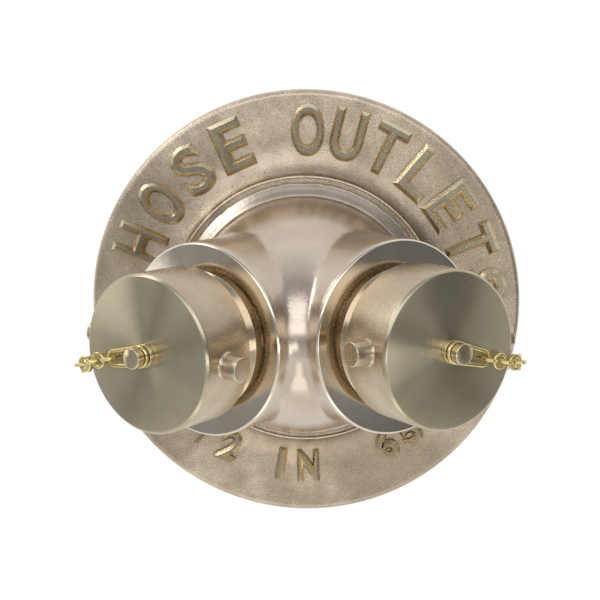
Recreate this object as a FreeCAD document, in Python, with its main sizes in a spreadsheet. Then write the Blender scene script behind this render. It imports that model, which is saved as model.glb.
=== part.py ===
import FreeCAD, Part
import math
import os
import re

import Sketcher
from FreeCAD import Placement, Rotation, Vector

# Two-way wall hydrant: a cast brass body with one pipe inlet and two hose outlets, a round wall
# plate round its neck, and on each outlet a screw cap with a gasket, two lugs and a jack chain.
# The wall is the plane y = 0, the front faces -Y, +Z is up and the neck's axis is y.

TO_FRONT = -90.0          # turns a piece's own x axis towards the front
SIDES = {"left": -1, "right": 1}
TOLERANCE = 1e-3
ROLL_SPAN = math.radians(75)   # of the crotch's round each way from straight ahead

SIZES = {
    "plate_radius": 137.5,        # wall plate, round
    "plate_rim_height": 7.0,
    "plate_rim_round": 4.0,
    "plate_band_height": 9.5,     # where the flat band meets the flare
    "plate_flare_start": 96.5,
    "plate_lip_height": 22.0,
    "plate_lip_round": 1.0,
    "plate_lip_thickness": 5.0,
    "plate_seat_radius": 83.4,    # recess in the lip that the body's shoulder sits in
    "plate_seat_depth": 1.5,
    "plate_hole_radius": 76.5,
    "plate_wall": 6.0,
    "plate_hollow": 1.5,
    "plate_foot_width": 4.5,
    "inlet_back": 45.0,           # inlet boss behind the wall plane
    "inlet_band_radius": 72.0,
    "inlet_band_length": 16.0,
    "inlet_thread_radius": 56.8,  # 4 inch pipe thread, at its roots
    "inlet_thread_depth": 34.0,
    "inlet_throat_radius": 50.0,
    "neck_radius": 70.0,
    "neck_step": 3.0,
    "pilot_radius": 76.0,
    "pilot_length": 7.0,
    "shoulder_radius": 81.0,      # ring that holds the plate to the wall
    "shoulder_thickness": 8.0,
    "shoulder_round": 4.0,
    "globe_radius": 72.5,
    "globe_reach": 104.0,         # of its nose, from where the branches meet
    "nose_radius": 52.0,
    "globe_blend": 4.0,
    "casting_wall": 9.5,
    "branch_centre": 30.0,        # where the two outlet axes meet, in front of the wall
    "branch_angle": 35.0,         # from straight ahead
    "crotch_round": 12.0,         # hollow between the two branches
    "blend_overlap": 0.25,        # how far the blends run into what they join
    "flare_radius": 40.0,         # from the globe into a branch
    "collar_radius": 56.0,
    "collar_reach": 98.0,
    "collar_chamfer": 1.0,
    "nipple_length": 34.0,
    "nipple_neck_radius": 40.0,
    "nipple_neck_length": 8.0,
    "nipple_chamfer": 1.5,
    "thread_core_radius": 36.8,   # 2 1/2 inch hose thread, at its roots
    "outlet_bore_radius": 31.75,
    "outlet_taper_length": 14.0,
    "rim_gap": 10.0,              # cap rim to collar
    "cap_radius": 44.5,
    "cap_length": 36.0,
    "cap_top": 7.0,
    "cap_bore_radius": 39.3,
    "cap_face_chamfer": 1.4,
    "cap_rim_chamfer": 0.8,
    "lug_radius": 6.8,
    "lug_tip_radius": 55.0,
    "lug_setback": 16.0,
    "lug_chamfer": 0.8,
    "lug_root_round": 1.5,
    "gasket_thickness": 4.8,
    "gasket_inner_radius": 30.5,
    "gasket_radius": 38.8,
    "stud_flange_radius": 6.6,
    "stud_flange_height": 3.0,
    "stud_groove_radius": 3.6,
    "stud_groove_length": 4.0,
    "stud_head_radius": 5.8,
    "stud_head_side": 4.6,
    "stud_dome_height": 0.8,
    "stud_shank_radius": 3.0,
    "stud_rivet_radius": 5.0,
    "stud_rivet_height": 1.4,
    "ring_wire_radius": 1.2,
    "ring_eye_radius": 5.4,
    "ring_tip_radius": 4.0,
    "ring_length": 19.0,          # from the stud's axis to the centre of the tip's bend
    "link_loop_radius": 3.8,
    "link_wire_radius": 1.0,
    "link_play": 0.6,
    "hook_play": 0.8,             # at the ring and at the anchor
    "chain_lift": 6.2,            # of the chain's middle above the cap
    "chain_drop_left": 15.0,      # of its middle beside the cap, below the outlet's axis
    "chain_drop_right": 17.0,
    "anchor_setback": 12.0,
    "anchor_shank_radius": 2.4,
    "anchor_shank_depth": 6.0,
    "anchor_seat_radius": 4.0,
    "anchor_seat_height": 2.0,
    "anchor_eye_radius": 5.0,
    "anchor_wire_radius": 1.4,
}
LUG_TURN = {"left": 5.0, "right": 3.0}       # degrees that the lugs stand off the level
RING_DROP = {"left": 9.0, "right": 17.0}     # degrees that the ring points below the level
ANCHOR_DROP = {"left": 16.0, "right": 19.0}  # degrees of the anchor below the level
LINK_STEPS = 10
EYE_STEPS = 18
WIRE_SIDES = 6

# The flare's round touches the branch at flare_end and runs into the globe at flare_start_radius
# The globe's crown runs from its widest place into the round of its nose
WORKED_OUT = {
    "crown_radius": "=((globe_reach - nose_radius) ^ 2 + globe_radius ^ 2 - nose_radius ^ 2)"
                    " / (2 * (globe_radius - nose_radius))",
    "nose_start": "=(globe_reach - nose_radius) * crown_radius / (crown_radius - nose_radius)",
    "nose_width": "=(crown_radius - globe_radius) * nose_radius / (crown_radius - nose_radius)",
    "flare_middle": "=globe_radius + flare_radius - blend_overlap",
    "flare_end": "=sqrt(flare_middle ^ 2 - (collar_radius + flare_radius) ^ 2)",
    "flare_length": "=flare_end * flare_radius / flare_middle",
    "flare_start_radius": "=(collar_radius + flare_radius) * (1 - flare_radius / flare_middle)",
}

doc = FreeCAD.newDocument("wall_hydrant")
sheet = doc.addObject("Spreadsheet::Sheet", "Sizes")
for row, (alias, content) in enumerate({**SIZES, **WORKED_OUT}.items(), start=1):
    sheet.set(f"A{row}", alias)
    sheet.set(f"B{row}", str(content))
    sheet.setAlias(f"B{row}", alias)
doc.recompute()


def size(alias):
    return float(sheet.get(alias))


def sized(text):
    """Expression on the sheet's cells: each alias in the text gets the sheet's name."""
    aliases = {**SIZES, **WORKED_OUT}
    return re.sub(r"[a-z_]+", lambda word: f"Sizes.{word[0]}" if word[0] in aliases else word[0], text)


def origin_plane(body, role):
    return next(plane for plane in body.Origin.OriginFeatures if plane.Role == role)


def new_body(label, placement):
    body = doc.addObject("PartDesign::Body", label)
    body.Label = label
    body.Placement = placement
    return body


def front_placement():
    return Placement(Vector(0, 0, 0), Rotation(Vector(0, 0, 1), TO_FRONT))


def branch_placement(side):
    """Frame of an outlet: x along its axis from the meeting point, z up."""
    turn = TO_FRONT + SIDES[side] * size("branch_angle")
    return Placement(Vector(0, -size("branch_centre"), 0), Rotation(Vector(0, 0, 1), turn))


def arc_between(start, finish, radius):
    """Arc from start to finish; a positive radius has its centre on the left of the way."""
    way = finish - start
    left = Vector(-way.y, way.x, 0).normalize()
    height = math.sqrt(max(radius * radius - way.Length ** 2 / 4, 0.0))
    centre = (start + finish) * 0.5 + left * math.copysign(height, radius)
    first, last = (start, finish) if radius > 0 else (finish, start)
    angles = [math.atan2(point.y - centre.y, point.x - centre.x) for point in (first, last)]
    return Part.ArcOfCircle(Part.Circle(centre, Vector(0, 0, 1), abs(radius)), *angles)


def draw_profile(body, name, corners, offset=None):
    """Closed half profile, each corner an (along the axis, from the axis) pair of expressions.
    A third entry is the signed radius of the arc that leads to that corner."""
    sketch = body.newObject("Sketcher::SketchObject", name)
    sketch.AttachmentSupport = (origin_plane(body, "XY_Plane"), [""])
    sketch.MapMode = "FlatFace"
    if offset:
        sketch.AttachmentOffset = offset
    points = [Vector(*(float(sketch.evalExpression(sized(text))) for text in corner[:2]), 0)
              for corner in corners]
    ends = []
    for index, start in enumerate(points):
        following = (index + 1) % len(points)
        finish = points[following]
        if len(corners[following]) == 3:
            text = corners[following][2]
            radius = float(sketch.evalExpression(sized(text)))
            edge = sketch.addGeometry(arc_between(start, finish, radius))
            constraint = sketch.addConstraint(Sketcher.Constraint("Radius", edge, abs(radius)))
            sketch.setExpression(f"Constraints[{constraint}]", f"abs({sized(text)})")
            ends.append((edge, (1, 2) if radius > 0 else (2, 1)))
        else:
            edge = sketch.addGeometry(Part.LineSegment(start, finish))
            ends.append((edge, (1, 2)))
    for index, (edge, (first, last)) in enumerate(ends):
        next_edge, (next_first, _) = ends[(index + 1) % len(ends)]
        sketch.addConstraint(Sketcher.Constraint("Coincident", edge, last, next_edge, next_first))
        for kind, axis, value, text in (("DistanceX", -2, points[index].x, corners[index][0]),
                                        ("DistanceY", -1, points[index].y, corners[index][1])):
            if abs(value) < TOLERANCE:
                sketch.addConstraint(Sketcher.Constraint("PointOnObject", edge, first, axis))
                continue
            constraint = sketch.addConstraint(Sketcher.Constraint(kind, -1, 1, edge, first, value))
            sketch.setExpression(f"Constraints[{constraint}]", sized(text))
    return sketch


def turn(body, name, corners, kind="Revolution", offset=None):
    """Adds a turned form to a body, or cuts one with kind Groove."""
    sketch = draw_profile(body, name + "_profile", corners, offset)
    feature = body.newObject("PartDesign::" + kind, name)
    feature.Profile = sketch
    feature.ReferenceAxis = (sketch, ["H_Axis"])
    feature.Angle = 360
    doc.recompute()
    return feature


def dress(body, kind, name, expression, keep):
    """Fillet or Chamfer on the edges of the body's tip that keep accepts."""
    base = body.Tip
    edges = [f"Edge{number}" for number, edge in enumerate(base.Shape.Edges, start=1)
             if not edge.Degenerated and keep(edge)]
    feature = body.newObject("PartDesign::" + kind, name)
    feature.Base = (base, edges)
    feature.setExpression("Radius" if kind == "Fillet" else "Size", sized(expression))
    doc.recompute()
    return feature


def middle(edge):
    return edge.valueAt((edge.FirstParameter + edge.LastParameter) / 2)


def make_plate():
    plate = new_body("wall_plate", front_placement())
    flare = "(plate_lip_height - plate_lip_round - plate_band_height)"
    under = ("(plate_flare_start - sqrt( ( " + flare + " + plate_wall ) ^ 2"
             " - ( plate_lip_thickness - plate_lip_round ) ^ 2 ))")
    turn(plate, "plate_casting", [
        ("0", "plate_radius"),
        ("plate_rim_height - plate_rim_round", "plate_radius"),
        ("plate_rim_height", "plate_radius - plate_rim_round", "plate_rim_round"),
        ("plate_band_height", "plate_flare_start"),
        ("plate_lip_height - plate_lip_round", "plate_flare_start - " + flare, "-1 * " + flare),
        ("plate_lip_height", "plate_flare_start - " + flare + " - plate_lip_round", "plate_lip_round"),
        ("plate_lip_height", "plate_seat_radius"),
        ("plate_lip_height - plate_seat_depth", "plate_seat_radius"),
        ("plate_lip_height - plate_seat_depth", "plate_hole_radius"),
        ("plate_lip_height - plate_lip_thickness", "plate_hole_radius"),
        ("plate_lip_height - plate_lip_thickness", under),
        ("plate_band_height - plate_wall", "plate_flare_start", flare + " + plate_wall"),
        ("plate_hollow", "plate_radius - plate_foot_width"),
        ("0", "plate_radius - plate_foot_width"),
    ])
    return plate


def branch_offset(side):
    return Placement(Vector(size("branch_centre"), 0, 0),
                     Rotation(Vector(0, 0, 1), SIDES[side] * size("branch_angle")))


def make_crotch():
    """Hollow of the crotch: a wedge between the branches, cut back by a round that rolls along both."""
    angle = math.radians(size("branch_angle"))
    round_radius = size("crotch_round")
    rise = size("collar_radius") + round_radius - size("blend_overlap")
    reach = rise / math.sin(angle)
    spread = round_radius * math.cos(angle) / (reach - round_radius * math.sin(angle))
    meeting = Vector(size("branch_centre"), 0, 0)
    ahead, across, up = Vector(reach, 0, 0), Vector(0, reach * spread, 0), Vector(0, 0, rise)
    corners = [meeting, meeting + ahead + across, meeting + ahead - across, meeting]
    wedge = Part.Face(Part.makePolygon([corner - up for corner in corners])).extrude(up * 2)
    rolled = Part.Ellipse(meeting + ahead, meeting + up, meeting)
    inside = Part.Face(Part.Wire(rolled.toShape())).extrude(across * 4)
    inside.translate(across * -2)
    run = Part.ArcOfEllipse(rolled, -ROLL_SPAN, ROLL_SPAN)
    start, way = run.value(-ROLL_SPAN), run.tangent(-ROLL_SPAN)[0]
    ball = Part.Wire(Part.Circle(start, way, round_radius).toShape())
    groove = Part.Wire(run.toShape()).makePipeShell([ball], True, False)
    crotch = doc.addObject("Part::Feature", "crotch")
    crotch.Shape = wedge.common(inside).cut(groove)
    return crotch


def make_body():
    """Cast body: globe, neck and inlet boss about one axis, then the two outlet branches."""
    body = new_body("hydrant_body", front_placement())
    body.BaseFeature = make_crotch()
    doc.recompute()
    meeting = Vector(size("branch_centre"), 0, 0)
    poles_on_axis = Rotation(Vector(0, 1, 0), 90)
    seat = "plate_lip_height - plate_seat_depth"
    front = seat + " + shoulder_thickness"
    turn(body, "neck", [
        ("-1 * inlet_back", "0"),
        ("-1 * inlet_back", "inlet_band_radius"),
        ("inlet_band_length - inlet_back", "inlet_band_radius"),
        ("inlet_band_length - inlet_back + neck_step", "neck_radius"),
        (seat + " - pilot_length - neck_step", "neck_radius"),
        (seat + " - pilot_length", "pilot_radius"),
        (seat, "pilot_radius"),
        (seat, "shoulder_radius"),
        (front + " - shoulder_round", "shoulder_radius"),
        (front, "shoulder_radius - shoulder_round", "shoulder_round"),
        (front, "0"),
    ])
    turn(body, "globe", [
        ("branch_centre - globe_radius", "0"),
        ("branch_centre", "globe_radius", "-1 * globe_radius"),
        ("branch_centre + nose_start", "nose_width", "-1 * crown_radius"),
        ("branch_centre + globe_reach", "0", "-1 * nose_radius"),
    ])
    for side in SIDES:
        turn(body, side + "_branch", [
            ("0", "0"),
            ("0", "collar_radius"),
            ("flare_end - flare_length", "flare_start_radius"),
            ("flare_end", "collar_radius", "flare_radius"),
            ("collar_reach - collar_chamfer", "collar_radius"),
            ("collar_reach", "collar_radius - collar_chamfer"),
            ("collar_reach", "nipple_neck_radius"),
            ("collar_reach + nipple_neck_length", "nipple_neck_radius"),
            ("collar_reach + nipple_neck_length", "thread_core_radius"),
            ("collar_reach + nipple_length - nipple_chamfer", "thread_core_radius"),
            ("collar_reach + nipple_length", "thread_core_radius - nipple_chamfer"),
            ("collar_reach + nipple_length", "0"),
        ], offset=branch_offset(side))

    shoulder_front = size("plate_lip_height") - size("plate_seat_depth") + size("shoulder_thickness")
    dress(body, "Fillet", "globe_fillet", "globe_blend",
          lambda edge: isinstance(edge.Curve, Part.Circle)
          and abs(middle(edge).x - shoulder_front) < TOLERANCE
          and abs((middle(edge) - meeting).Length - size("globe_radius")) < TOLERANCE)

    cavity = body.newObject("PartDesign::SubtractiveSphere", "globe_cavity")
    cavity.setExpression("Radius", sized("globe_radius - casting_wall"))
    cavity.Placement = Placement(meeting, poles_on_axis)
    doc.recompute()
    turn(body, "inlet_bore", [
        ("-1 * inlet_back", "0"),
        ("-1 * inlet_back", "inlet_thread_radius"),
        ("inlet_thread_depth - inlet_back", "inlet_thread_radius"),
        ("inlet_thread_depth - inlet_back", "inlet_throat_radius"),
        ("branch_centre", "inlet_throat_radius"),
        ("branch_centre", "0"),
    ], kind="Groove")
    for side in SIDES:
        turn(body, side + "_outlet_bore", [
            ("0", "0"),
            ("0", "collar_radius - casting_wall"),
            ("collar_reach - 2 * outlet_taper_length", "collar_radius - casting_wall"),
            ("collar_reach - outlet_taper_length", "outlet_bore_radius"),
            ("collar_reach + nipple_length", "outlet_bore_radius"),
            ("collar_reach + nipple_length", "0"),
        ], kind="Groove", offset=branch_offset(side))
        hole = body.newObject("PartDesign::SubtractiveCylinder", side + "_anchor_hole")
        hole.setExpression("Radius", sized("anchor_shank_radius"))
        hole.setExpression("Height", sized("anchor_shank_depth + anchor_seat_height"))
        outlet = front_placement().inverse() * branch_placement(side)
        hole.Placement = outlet * anchor_placement(side, -size("anchor_shank_depth"))
        doc.recompute()
    return body


def anchor_placement(side, height):
    """In an outlet's frame: z out of the branch's wall at the anchor, height above that wall."""
    down = math.radians(ANCHOR_DROP[side])
    outward = Vector(0, SIDES[side] * math.cos(down), -math.sin(down))
    place = outward * (size("collar_radius") + height)
    place.x = size("collar_reach") - size("anchor_setback")
    return Placement(place, Rotation(Vector(1, 0, 0), Vector(), outward, "ZXY"))


def make_cap(side):
    """Screw cap: turned cup with two round lugs."""
    cap = new_body(side + "_cap", branch_placement(side))
    rim = "collar_reach + rim_gap"
    face = rim + " + cap_length"
    turn(cap, side + "_cup", [
        (rim, "0"),
        (rim, "cap_radius - cap_rim_chamfer"),
        (rim + " + cap_rim_chamfer", "cap_radius"),
        (face + " - cap_face_chamfer", "cap_radius"),
        (face, "cap_radius - cap_face_chamfer"),
        (face, "0"),
    ])
    lugs = cap.newObject("PartDesign::AdditiveCylinder", side + "_lugs")
    lugs.setExpression("Radius", sized("lug_radius"))
    lugs.setExpression("Height", sized("2 * lug_tip_radius"))
    along = size("collar_reach") + size("rim_gap") + size("cap_length") - size("lug_setback")
    level = Rotation(Vector(1, 0, 0), 90 - LUG_TURN[side])
    lugs.Placement = Placement(Vector(along, 0, 0), level) * Placement(
        Vector(0, 0, -size("lug_tip_radius")), Rotation())
    doc.recompute()
    tip, wall = size("lug_tip_radius"), size("cap_radius")

    def from_axis(edge):
        return math.hypot(middle(edge).y, middle(edge).z)

    dress(cap, "Chamfer", side + "_lug_ends", "lug_chamfer",
          lambda edge: from_axis(edge) > (tip + wall) / 2)
    dress(cap, "Fillet", side + "_lug_roots", "lug_root_round",
          lambda edge: edge.BoundBox.XLength < 3 * size("lug_radius")
          and abs(from_axis(edge) - wall) < TOLERANCE
          and abs(middle(edge).x - along) < size("lug_radius") + 1
          and not isinstance(edge.Curve, (Part.Line, Part.Circle)))
    turn(cap, side + "_cap_bore", [
        (rim, "0"),
        (rim, "cap_bore_radius"),
        (face + " - cap_top", "cap_bore_radius"),
        (face + " - cap_top", "0"),
    ], kind="Groove")
    turn(cap, side + "_stud_hole", [
        (face + " - cap_top", "0"),
        (face + " - cap_top", "stud_shank_radius"),
        (face, "stud_shank_radius"),
        (face, "0"),
    ], kind="Groove")
    return cap


def make_gasket(side):
    gasket = new_body(side + "_gasket", branch_placement(side))
    top = "collar_reach + rim_gap + cap_length - cap_top"
    turn(gasket, side + "_washer", [
        (top + " - gasket_thickness", "gasket_inner_radius"),
        (top + " - gasket_thickness", "gasket_radius"),
        (top, "gasket_radius"),
        (top, "gasket_inner_radius"),
    ])
    return gasket


def make_stud(side):
    """Turned stud riveted through the cap, with a groove for the chain's ring."""
    stud = new_body(side + "_chain_stud", branch_placement(side))
    face = "collar_reach + rim_gap + cap_length"
    groove = face + " + stud_flange_height"
    head = groove + " + stud_groove_length"
    rivet = face + " - cap_top"
    dome = "( stud_head_radius ^ 2 + stud_dome_height ^ 2 ) / ( 2 * stud_dome_height )"
    turn(stud, side + "_stud_turning", [
        (rivet + " - stud_rivet_height", "0"),
        (rivet + " - stud_rivet_height", "stud_rivet_radius"),
        (rivet, "stud_rivet_radius"),
        (rivet, "stud_shank_radius"),
        (face, "stud_shank_radius"),
        (face, "stud_flange_radius"),
        (groove, "stud_flange_radius"),
        (groove, "stud_groove_radius"),
        (head, "stud_groove_radius"),
        (head, "stud_head_radius"),
        (head + " + stud_head_side", "stud_head_radius"),
        (head + " + stud_head_side + stud_dome_height", "0", "-1 * " + dome),
    ])
    return stud


def wire_loop(path, normal, radius):
    """Closed loop of round wire along a flat path, mitred at each of its points."""
    count = len(path)
    sections = []
    for index, point in enumerate(path):
        before = (point - path[index - 1]).normalize()
        after = (path[(index + 1) % count] - point).normalize()
        outward = before.cross(normal) + after.cross(normal)
        outward = outward.normalize() / math.sqrt((1 + before.dot(after)) / 2)
        angles = [2 * math.pi * step / WIRE_SIDES for step in range(WIRE_SIDES)]
        sections.append([point + outward * (radius * math.cos(angle)) + normal * (radius * math.sin(angle))
                         for angle in angles])
    faces = []
    for index in range(count):
        here, there = sections[index - 1], sections[index]
        for step in range(WIRE_SIDES):
            corners = [here[step - 1], here[step], there[step], there[step - 1]]
            faces.append(Part.Face(Part.makePolygon(corners + corners[:1])))
    solid = Part.Solid(Part.Shell(faces))
    if solid.Volume < 0:
        solid.reverse()
    return solid


def arc_points(centre, radius, first, last, steps, across, up):
    """Points on an arc, with angles in degrees from across towards up."""
    turns = [math.radians(first + (last - first) * step / steps) for step in range(steps + 1)]
    return [centre + across * (radius * math.cos(angle)) + up * (radius * math.sin(angle)) for angle in turns]


def circle_points(centre, radius, steps, across, up):
    return arc_points(centre, radius, 0, 360, steps, across, up)[:-1]


def add_shape(label, shape, side):
    piece = doc.addObject("Part::Feature", label)
    piece.Label = label
    piece.Shape = shape
    piece.Placement = branch_placement(side)
    return piece


def ring_plane(side):
    """Where the ring lies, on the stud's axis, and the way it points."""
    centre = Vector(size("collar_reach") + size("rim_gap") + size("cap_length")
                    + size("stud_flange_height") + size("stud_groove_length") / 2, 0, 0)
    down = math.radians(RING_DROP[side])
    return centre, Vector(0, SIDES[side] * math.cos(down), -math.sin(down))


def make_ring(side):
    """Pear-shaped wire ring that swivels in the stud's groove."""
    centre, outward = ring_plane(side)
    normal = Vector(1, 0, 0)
    up = normal.cross(outward)
    lean = math.degrees(math.acos((size("ring_eye_radius") - size("ring_tip_radius")) / size("ring_length")))
    tip_centre = centre + outward * size("ring_length")
    path = arc_points(centre, size("ring_eye_radius"), lean, 360 - lean, EYE_STEPS // 2, outward, up)
    path += arc_points(tip_centre, size("ring_tip_radius"), -lean, lean, EYE_STEPS // 2, outward, up)
    return add_shape(side + "_chain_ring", wire_loop(path, normal, size("ring_wire_radius")), side)


def chain_line(side):
    """The chain's middle: from the ring across the cap's face, over its edge and back to the anchor."""
    centre, outward = ring_plane(side)
    face = size("collar_reach") + size("rim_gap") + size("cap_length")
    lift, drop = size("chain_lift"), size("chain_drop_" + side)
    beside = Vector(0, SIDES[side] * (size("cap_radius") + lift), -drop)
    start = centre + outward * (size("ring_length") + size("ring_tip_radius"))
    seat = anchor_placement(side, size("anchor_seat_height") + size("anchor_eye_radius"))
    finish = seat.Base + Vector(size("anchor_eye_radius"), 0, 0)
    ahead = start + outward * lift
    over_edge = beside + Vector(face + 1.5 * lift, -SIDES[side] * lift, drop / 3)
    past_edge = beside + Vector(face - lift, SIDES[side] * lift / 2, drop / 6)
    collar = finish + Vector(4 * lift, 0, 0)
    line = Part.BSplineCurve()
    line.buildFromPoles([start, ahead, over_edge, past_edge, collar, finish], False, 3)
    return line


def make_link(place, along, radius, wire):
    """Figure-of-eight link: a level loop behind an upright one."""
    up = Vector(0, 0, 1)
    up = (up - along * up.dot(along)).normalize()
    loops = []
    for end, across in ((-1, along.cross(up)), (1, up)):
        path = circle_points(place + along * (end * radius), radius, LINK_STEPS, along, across)
        loops.append(wire_loop(path, along.cross(across), wire))
    return loops[0].fuse(loops[1])


def make_chain(side):
    """Single jack chain, its links threaded through the ring, each other and the anchor's eye."""
    radius, wire = size("link_loop_radius"), size("link_wire_radius")
    line = chain_line(side)
    length = line.length()
    first = 2 * radius - wire - size("ring_wire_radius") - size("hook_play")
    last = length - 2 * radius + wire + size("anchor_wire_radius") + size("hook_play")
    taut = 4 * radius - 2 * wire - size("link_play")
    count = math.ceil((last - first) / taut) + 1
    links = []
    for index in range(count):
        where = first + (last - first) * index / (count - 1)
        tail, tip = (line.value(line.parameterAtDistance(min(max(where + end * radius, 0), length),
                                                         line.FirstParameter)) for end in (-1, 1))
        links.append(make_link((tail + tip) * 0.5, (tip - tail).normalize(), radius, wire))
    return add_shape(side + "_chain", Part.makeCompound(links), side)


def make_anchor(side):
    """Screw eye in the side of the branch."""
    depth, seat = size("anchor_shank_depth"), size("anchor_seat_height")
    radius, wire = size("anchor_eye_radius"), size("anchor_wire_radius")
    shank = Part.makeCylinder(size("anchor_shank_radius"), depth + seat, Vector(0, 0, -depth))
    collar = Part.makeCylinder(size("anchor_seat_radius"), seat, Vector(0, 0, 0))
    circle = circle_points(Vector(0, 0, seat + radius), radius, EYE_STEPS, Vector(1, 0, 0), Vector(0, 0, 1))
    eye = wire_loop(circle, Vector(0, -1, 0), wire)
    anchor = shank.fuse([collar, eye]).transformed(anchor_placement(side, 0).toMatrix(), True)
    return add_shape(side + "_chain_anchor", anchor, side)


pieces = [make_plate(), make_body()]
for side_name in SIDES:
    for make in (make_cap, make_gasket, make_stud, make_ring, make_chain, make_anchor):
        pieces.append(make(side_name))
doc.recompute()

for item in doc.Objects:
    if "Invalid" in item.State or "Error" in item.State:
        raise RuntimeError(f"{item.Label} failed: {item.State}")
for piece in pieces:
    if piece.Shape.isNull() or not piece.Shape.isValid():
        raise RuntimeError(f"{piece.Label} has no valid shape")

os.makedirs("parts", exist_ok=True)
for piece in pieces:
    piece.Shape.exportStep(os.path.join("parts", piece.Label + ".step"))
    print(piece.Label, len(piece.Shape.Solids), "solids", round(piece.Shape.Volume / 1000, 2), "cm3")
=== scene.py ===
import bpy
import bmesh
import math
from mathutils import Matrix, Vector


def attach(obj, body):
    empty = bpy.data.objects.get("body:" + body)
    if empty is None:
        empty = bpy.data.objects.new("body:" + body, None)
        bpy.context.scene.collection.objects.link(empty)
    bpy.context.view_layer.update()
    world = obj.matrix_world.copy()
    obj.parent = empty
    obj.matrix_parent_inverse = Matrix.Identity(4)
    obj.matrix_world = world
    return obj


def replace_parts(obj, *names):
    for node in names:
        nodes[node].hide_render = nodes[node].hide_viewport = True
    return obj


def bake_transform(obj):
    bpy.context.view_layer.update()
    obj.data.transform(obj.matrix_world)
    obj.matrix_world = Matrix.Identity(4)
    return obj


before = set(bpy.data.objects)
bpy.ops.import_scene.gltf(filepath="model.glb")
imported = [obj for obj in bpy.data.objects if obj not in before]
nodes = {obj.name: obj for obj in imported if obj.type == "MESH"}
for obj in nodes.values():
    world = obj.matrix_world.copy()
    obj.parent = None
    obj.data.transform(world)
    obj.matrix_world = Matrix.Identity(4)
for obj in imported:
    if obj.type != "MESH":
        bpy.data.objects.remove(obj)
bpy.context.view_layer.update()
mm = 0.001

# outlets: where their axes meet, how far they turn off straight ahead, and what sits where along them
outlets = {"meeting": 30.0, "angle": 35.0, "collar": 98.0, "collarRadius": 56.0, "rim": 108.0, "face": 144.0,
           "end": 132.0}
sides = {"left": -1, "right": 1}


def srgb(red, green, blue):
    parts = [value / 255 for value in (red, green, blue)]
    return tuple(part / 12.92 if part < 0.04045 else ((part + 0.055) / 1.055) ** 2.4 for part in parts) + (1.0,)


def outletPlace(side):  # x out along the outlet, z up
    turn = math.radians(-90 + sides[side] * outlets["angle"])
    return Matrix.Translation((0, -outlets["meeting"] * mm, 0)) @ Matrix.Rotation(turn, 4, "Z")


wallPlace = Matrix.Rotation(math.radians(-90), 4, "Z")  # x out of the wall


def arcBetween(start, finish, radius, steps=8):
    # points after start up to finish; a positive radius has its centre on the left of the way
    start, finish = Vector(start), Vector(finish)
    way = finish - start
    left = Vector((-way.y, way.x)).normalized()
    rise = math.sqrt(max(radius ** 2 - way.length ** 2 / 4, 0))
    middle = (start + finish) / 2 + left * math.copysign(rise, radius)
    spokeA, spokeB = start - middle, finish - middle
    sweep = math.atan2(spokeA.x * spokeB.y - spokeA.y * spokeB.x, spokeA.dot(spokeB))
    points = []
    for step in range(1, steps + 1):
        angle = sweep * step / steps
        points.append((middle.x + spokeA.x * math.cos(angle) - spokeA.y * math.sin(angle),
                       middle.y + spokeA.x * math.sin(angle) + spokeA.y * math.cos(angle)))
    return points


def softened(outline, radius, steps=3, closed=False):
    # rounds the corners of an outline, less where its runs are short
    nearlyStraight, shareOfRun = math.radians(150), 0.45
    result = []
    count = len(outline)
    for index, corner in enumerate(outline):
        corner = Vector(corner)
        if not closed and index in (0, count - 1):
            result.append(tuple(corner))
            continue
        back = Vector(outline[index - 1]) - corner
        ahead = Vector(outline[(index + 1) % count]) - corner
        if back.angle(ahead) > nearlyStraight:
            result.append(tuple(corner))
            continue
        reach = min(radius, back.length * shareOfRun, ahead.length * shareOfRun)
        a, b = corner + back.normalized() * reach, corner + ahead.normalized() * reach
        for step in range(steps + 1):
            t = step / steps
            result.append(tuple(a * (1 - t) ** 2 + corner * 2 * t * (1 - t) + b * t ** 2))
    return result


def meshPiece(name, points, faces, place=None, materials=(), sharp=40, pick=None):
    mesh = bpy.data.meshes.new(name)
    mesh.from_pydata([tuple(p) for p in points], [], faces)
    for material in materials:
        mesh.materials.append(material)
    if pick:
        for polygon in mesh.polygons:
            polygon.material_index = pick(polygon)
    mesh.validate()
    mesh.shade_smooth()
    mesh.set_sharp_from_angle(angle=math.radians(sharp))
    piece = bpy.data.objects.new(name, mesh)
    bpy.context.scene.collection.objects.link(piece)
    if place is not None:
        piece.matrix_world = place
    return piece


def latheData(outline, around, closed=False):
    # outline of (along, radius) in mm, turned about x
    points, faces, rows = [], [], []
    for along, radius in outline:
        if radius < 1e-4:
            rows.append([len(points)])
            points.append((along * mm, 0, 0))
            continue
        rows.append(range(len(points), len(points) + around))
        for step in range(around):
            angle = 2 * math.pi * step / around
            points.append((along * mm, radius * mm * math.cos(angle), radius * mm * math.sin(angle)))
    pairs = list(zip(rows, rows[1:])) + ([(rows[-1], rows[0])] if closed else [])
    for here, there in pairs:
        for step in range(around):
            following = (step + 1) % around
            if len(here) == 1:
                faces.append((here[0], there[following], there[step]))
            elif len(there) == 1:
                faces.append((here[step], here[following], there[0]))
            else:
                faces.append((here[step], here[following], there[following], there[step]))
    return points, faces


def tubeData(path, radius, normal, around):
    # closed round wire along flat points in mm
    points, faces = [], []
    count = len(path)
    for index, here in enumerate(path):
        along = (path[(index + 1) % count] - path[index - 1]).normalized()
        outward = along.cross(normal).normalized()
        upward = outward.cross(along)
        for step in range(around):
            angle = 2 * math.pi * step / around
            points.append((here + outward * radius * math.cos(angle) + upward * radius * math.sin(angle)) * mm)
    for index in range(count):
        for step in range(around):
            a, b = index * around, (index + 1) % count * around
            following = (step + 1) % around
            faces.append((a + step, a + following, b + following, b + step))
    return points, faces


def joined(*parts):
    points, faces = [], []
    for morePoints, moreFaces in parts:
        faces += [tuple(corner + len(points) for corner in face) for face in moreFaces]
        points += list(morePoints)
    return points, faces


def moved(data, place):
    return [place @ Vector(point) for point in data[0]], data[1]


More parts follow.
